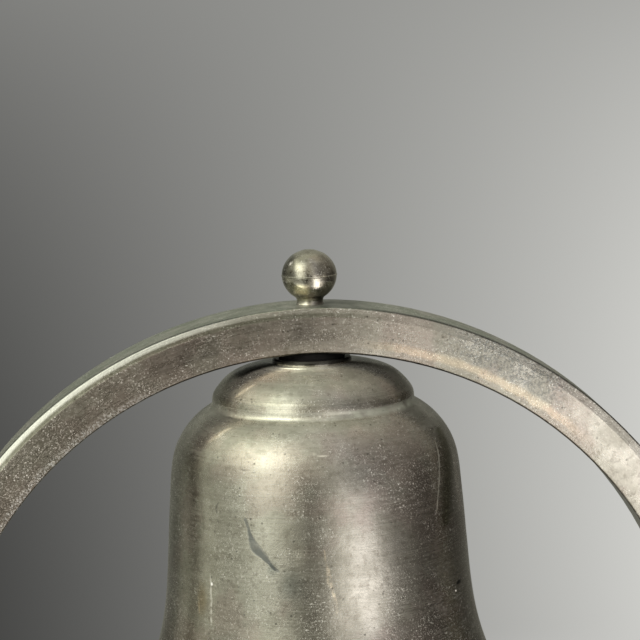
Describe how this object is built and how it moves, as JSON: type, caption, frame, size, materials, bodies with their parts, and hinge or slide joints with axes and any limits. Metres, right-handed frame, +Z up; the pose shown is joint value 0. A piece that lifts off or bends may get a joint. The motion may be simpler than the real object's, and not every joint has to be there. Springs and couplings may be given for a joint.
{
  "type": "counter service bell",
  "caption": "Counter service bell: a flared bell hung under a round arch of flat bar on an oblong base, with a swinging clapper and finger knob.",
  "frame": {"origin": "middle of the flat underside of the base pad, on the surface it stands on", "axes": "+Z up along the bell's axis; +X along the base from leg to leg, in the plane of the arch; the front is towards -Y"},
  "size_m": [0.228, 0.112, 0.1723],
  "materials": {
    "cork": "matt cork composition sheet",
    "walnut": "dark walnut, satin lacquer",
    "nickel_plate_base": "aged nickel plate, satin, lightly tarnished",
    "nickel_screws": "aged nickel plate",
    "nickel_arch": "aged nickel plate, tarnished and dusty",
    "nickel_base_trim": "aged nickel plate",
    "zinc_steel": "zinc plated steel",
    "nickel_ball": "aged nickel plate, semi-bright",
    "steel_stud": "drawn steel",
    "spring_steel": "blued spring steel",
    "black_fibre": "black fibre, matt",
    "nickel_bell": "aged nickel plate, satin, green-grey tarnish",
    "brass_nuts": "turned brass, dull",
    "brass_clapper": "cast brass, dull",
    "brass_striker": "turned brass, worn where it strikes",
    "nickel_knob": "aged nickel plate, worn by fingers"
  },
  "bodies": {
    "stand": {"base_pad": "cork", "base_plinth": "walnut", "base_plate": "nickel_plate_base", "plate_screws": "nickel_screws", "arch_bar": "nickel_arch", "leg_collar_left": "nickel_base_trim", "leg_collar_right": "nickel_base_trim", "leg_washers": "zinc_steel", "leg_screws": "zinc_steel", "finial_ball": "nickel_ball", "hanger_stud": "steel_stud", "spacer_washer": "black_fibre", "bell_shell": "nickel_bell", "cushion_washer": "black_fibre", "crown_washer": "zinc_steel", "crown_nut": "brass_nuts", "thrust_washer": "brass_nuts", "swivel_nut": "brass_nuts", "swivel_lock_nut": "brass_nuts"},
    "fork": {"clapper_fork": "brass_clapper", "pivot_pin": "steel_stud", "pin_clip": "spring_steel"},
    "clapper": {"clapper_bush": "brass_clapper", "clapper_rod": "steel_stud", "striker": "brass_striker", "striker_nut": "brass_nuts", "finger_knob": "nickel_knob"}
  },
  "joints": [
    {"name": "clapper_swivel", "type": "hinge", "parent": "stand", "child": "fork", "pos_m": [0, 0, 0.134], "axis": [0, 0, 1], "continuous": true},
    {"name": "clapper_swing", "type": "hinge", "parent": "fork", "child": "clapper", "pos_m": [0, 0, 0.1195], "axis": [0, 1, 0], "range_deg": [-29, 29]}
  ]
}
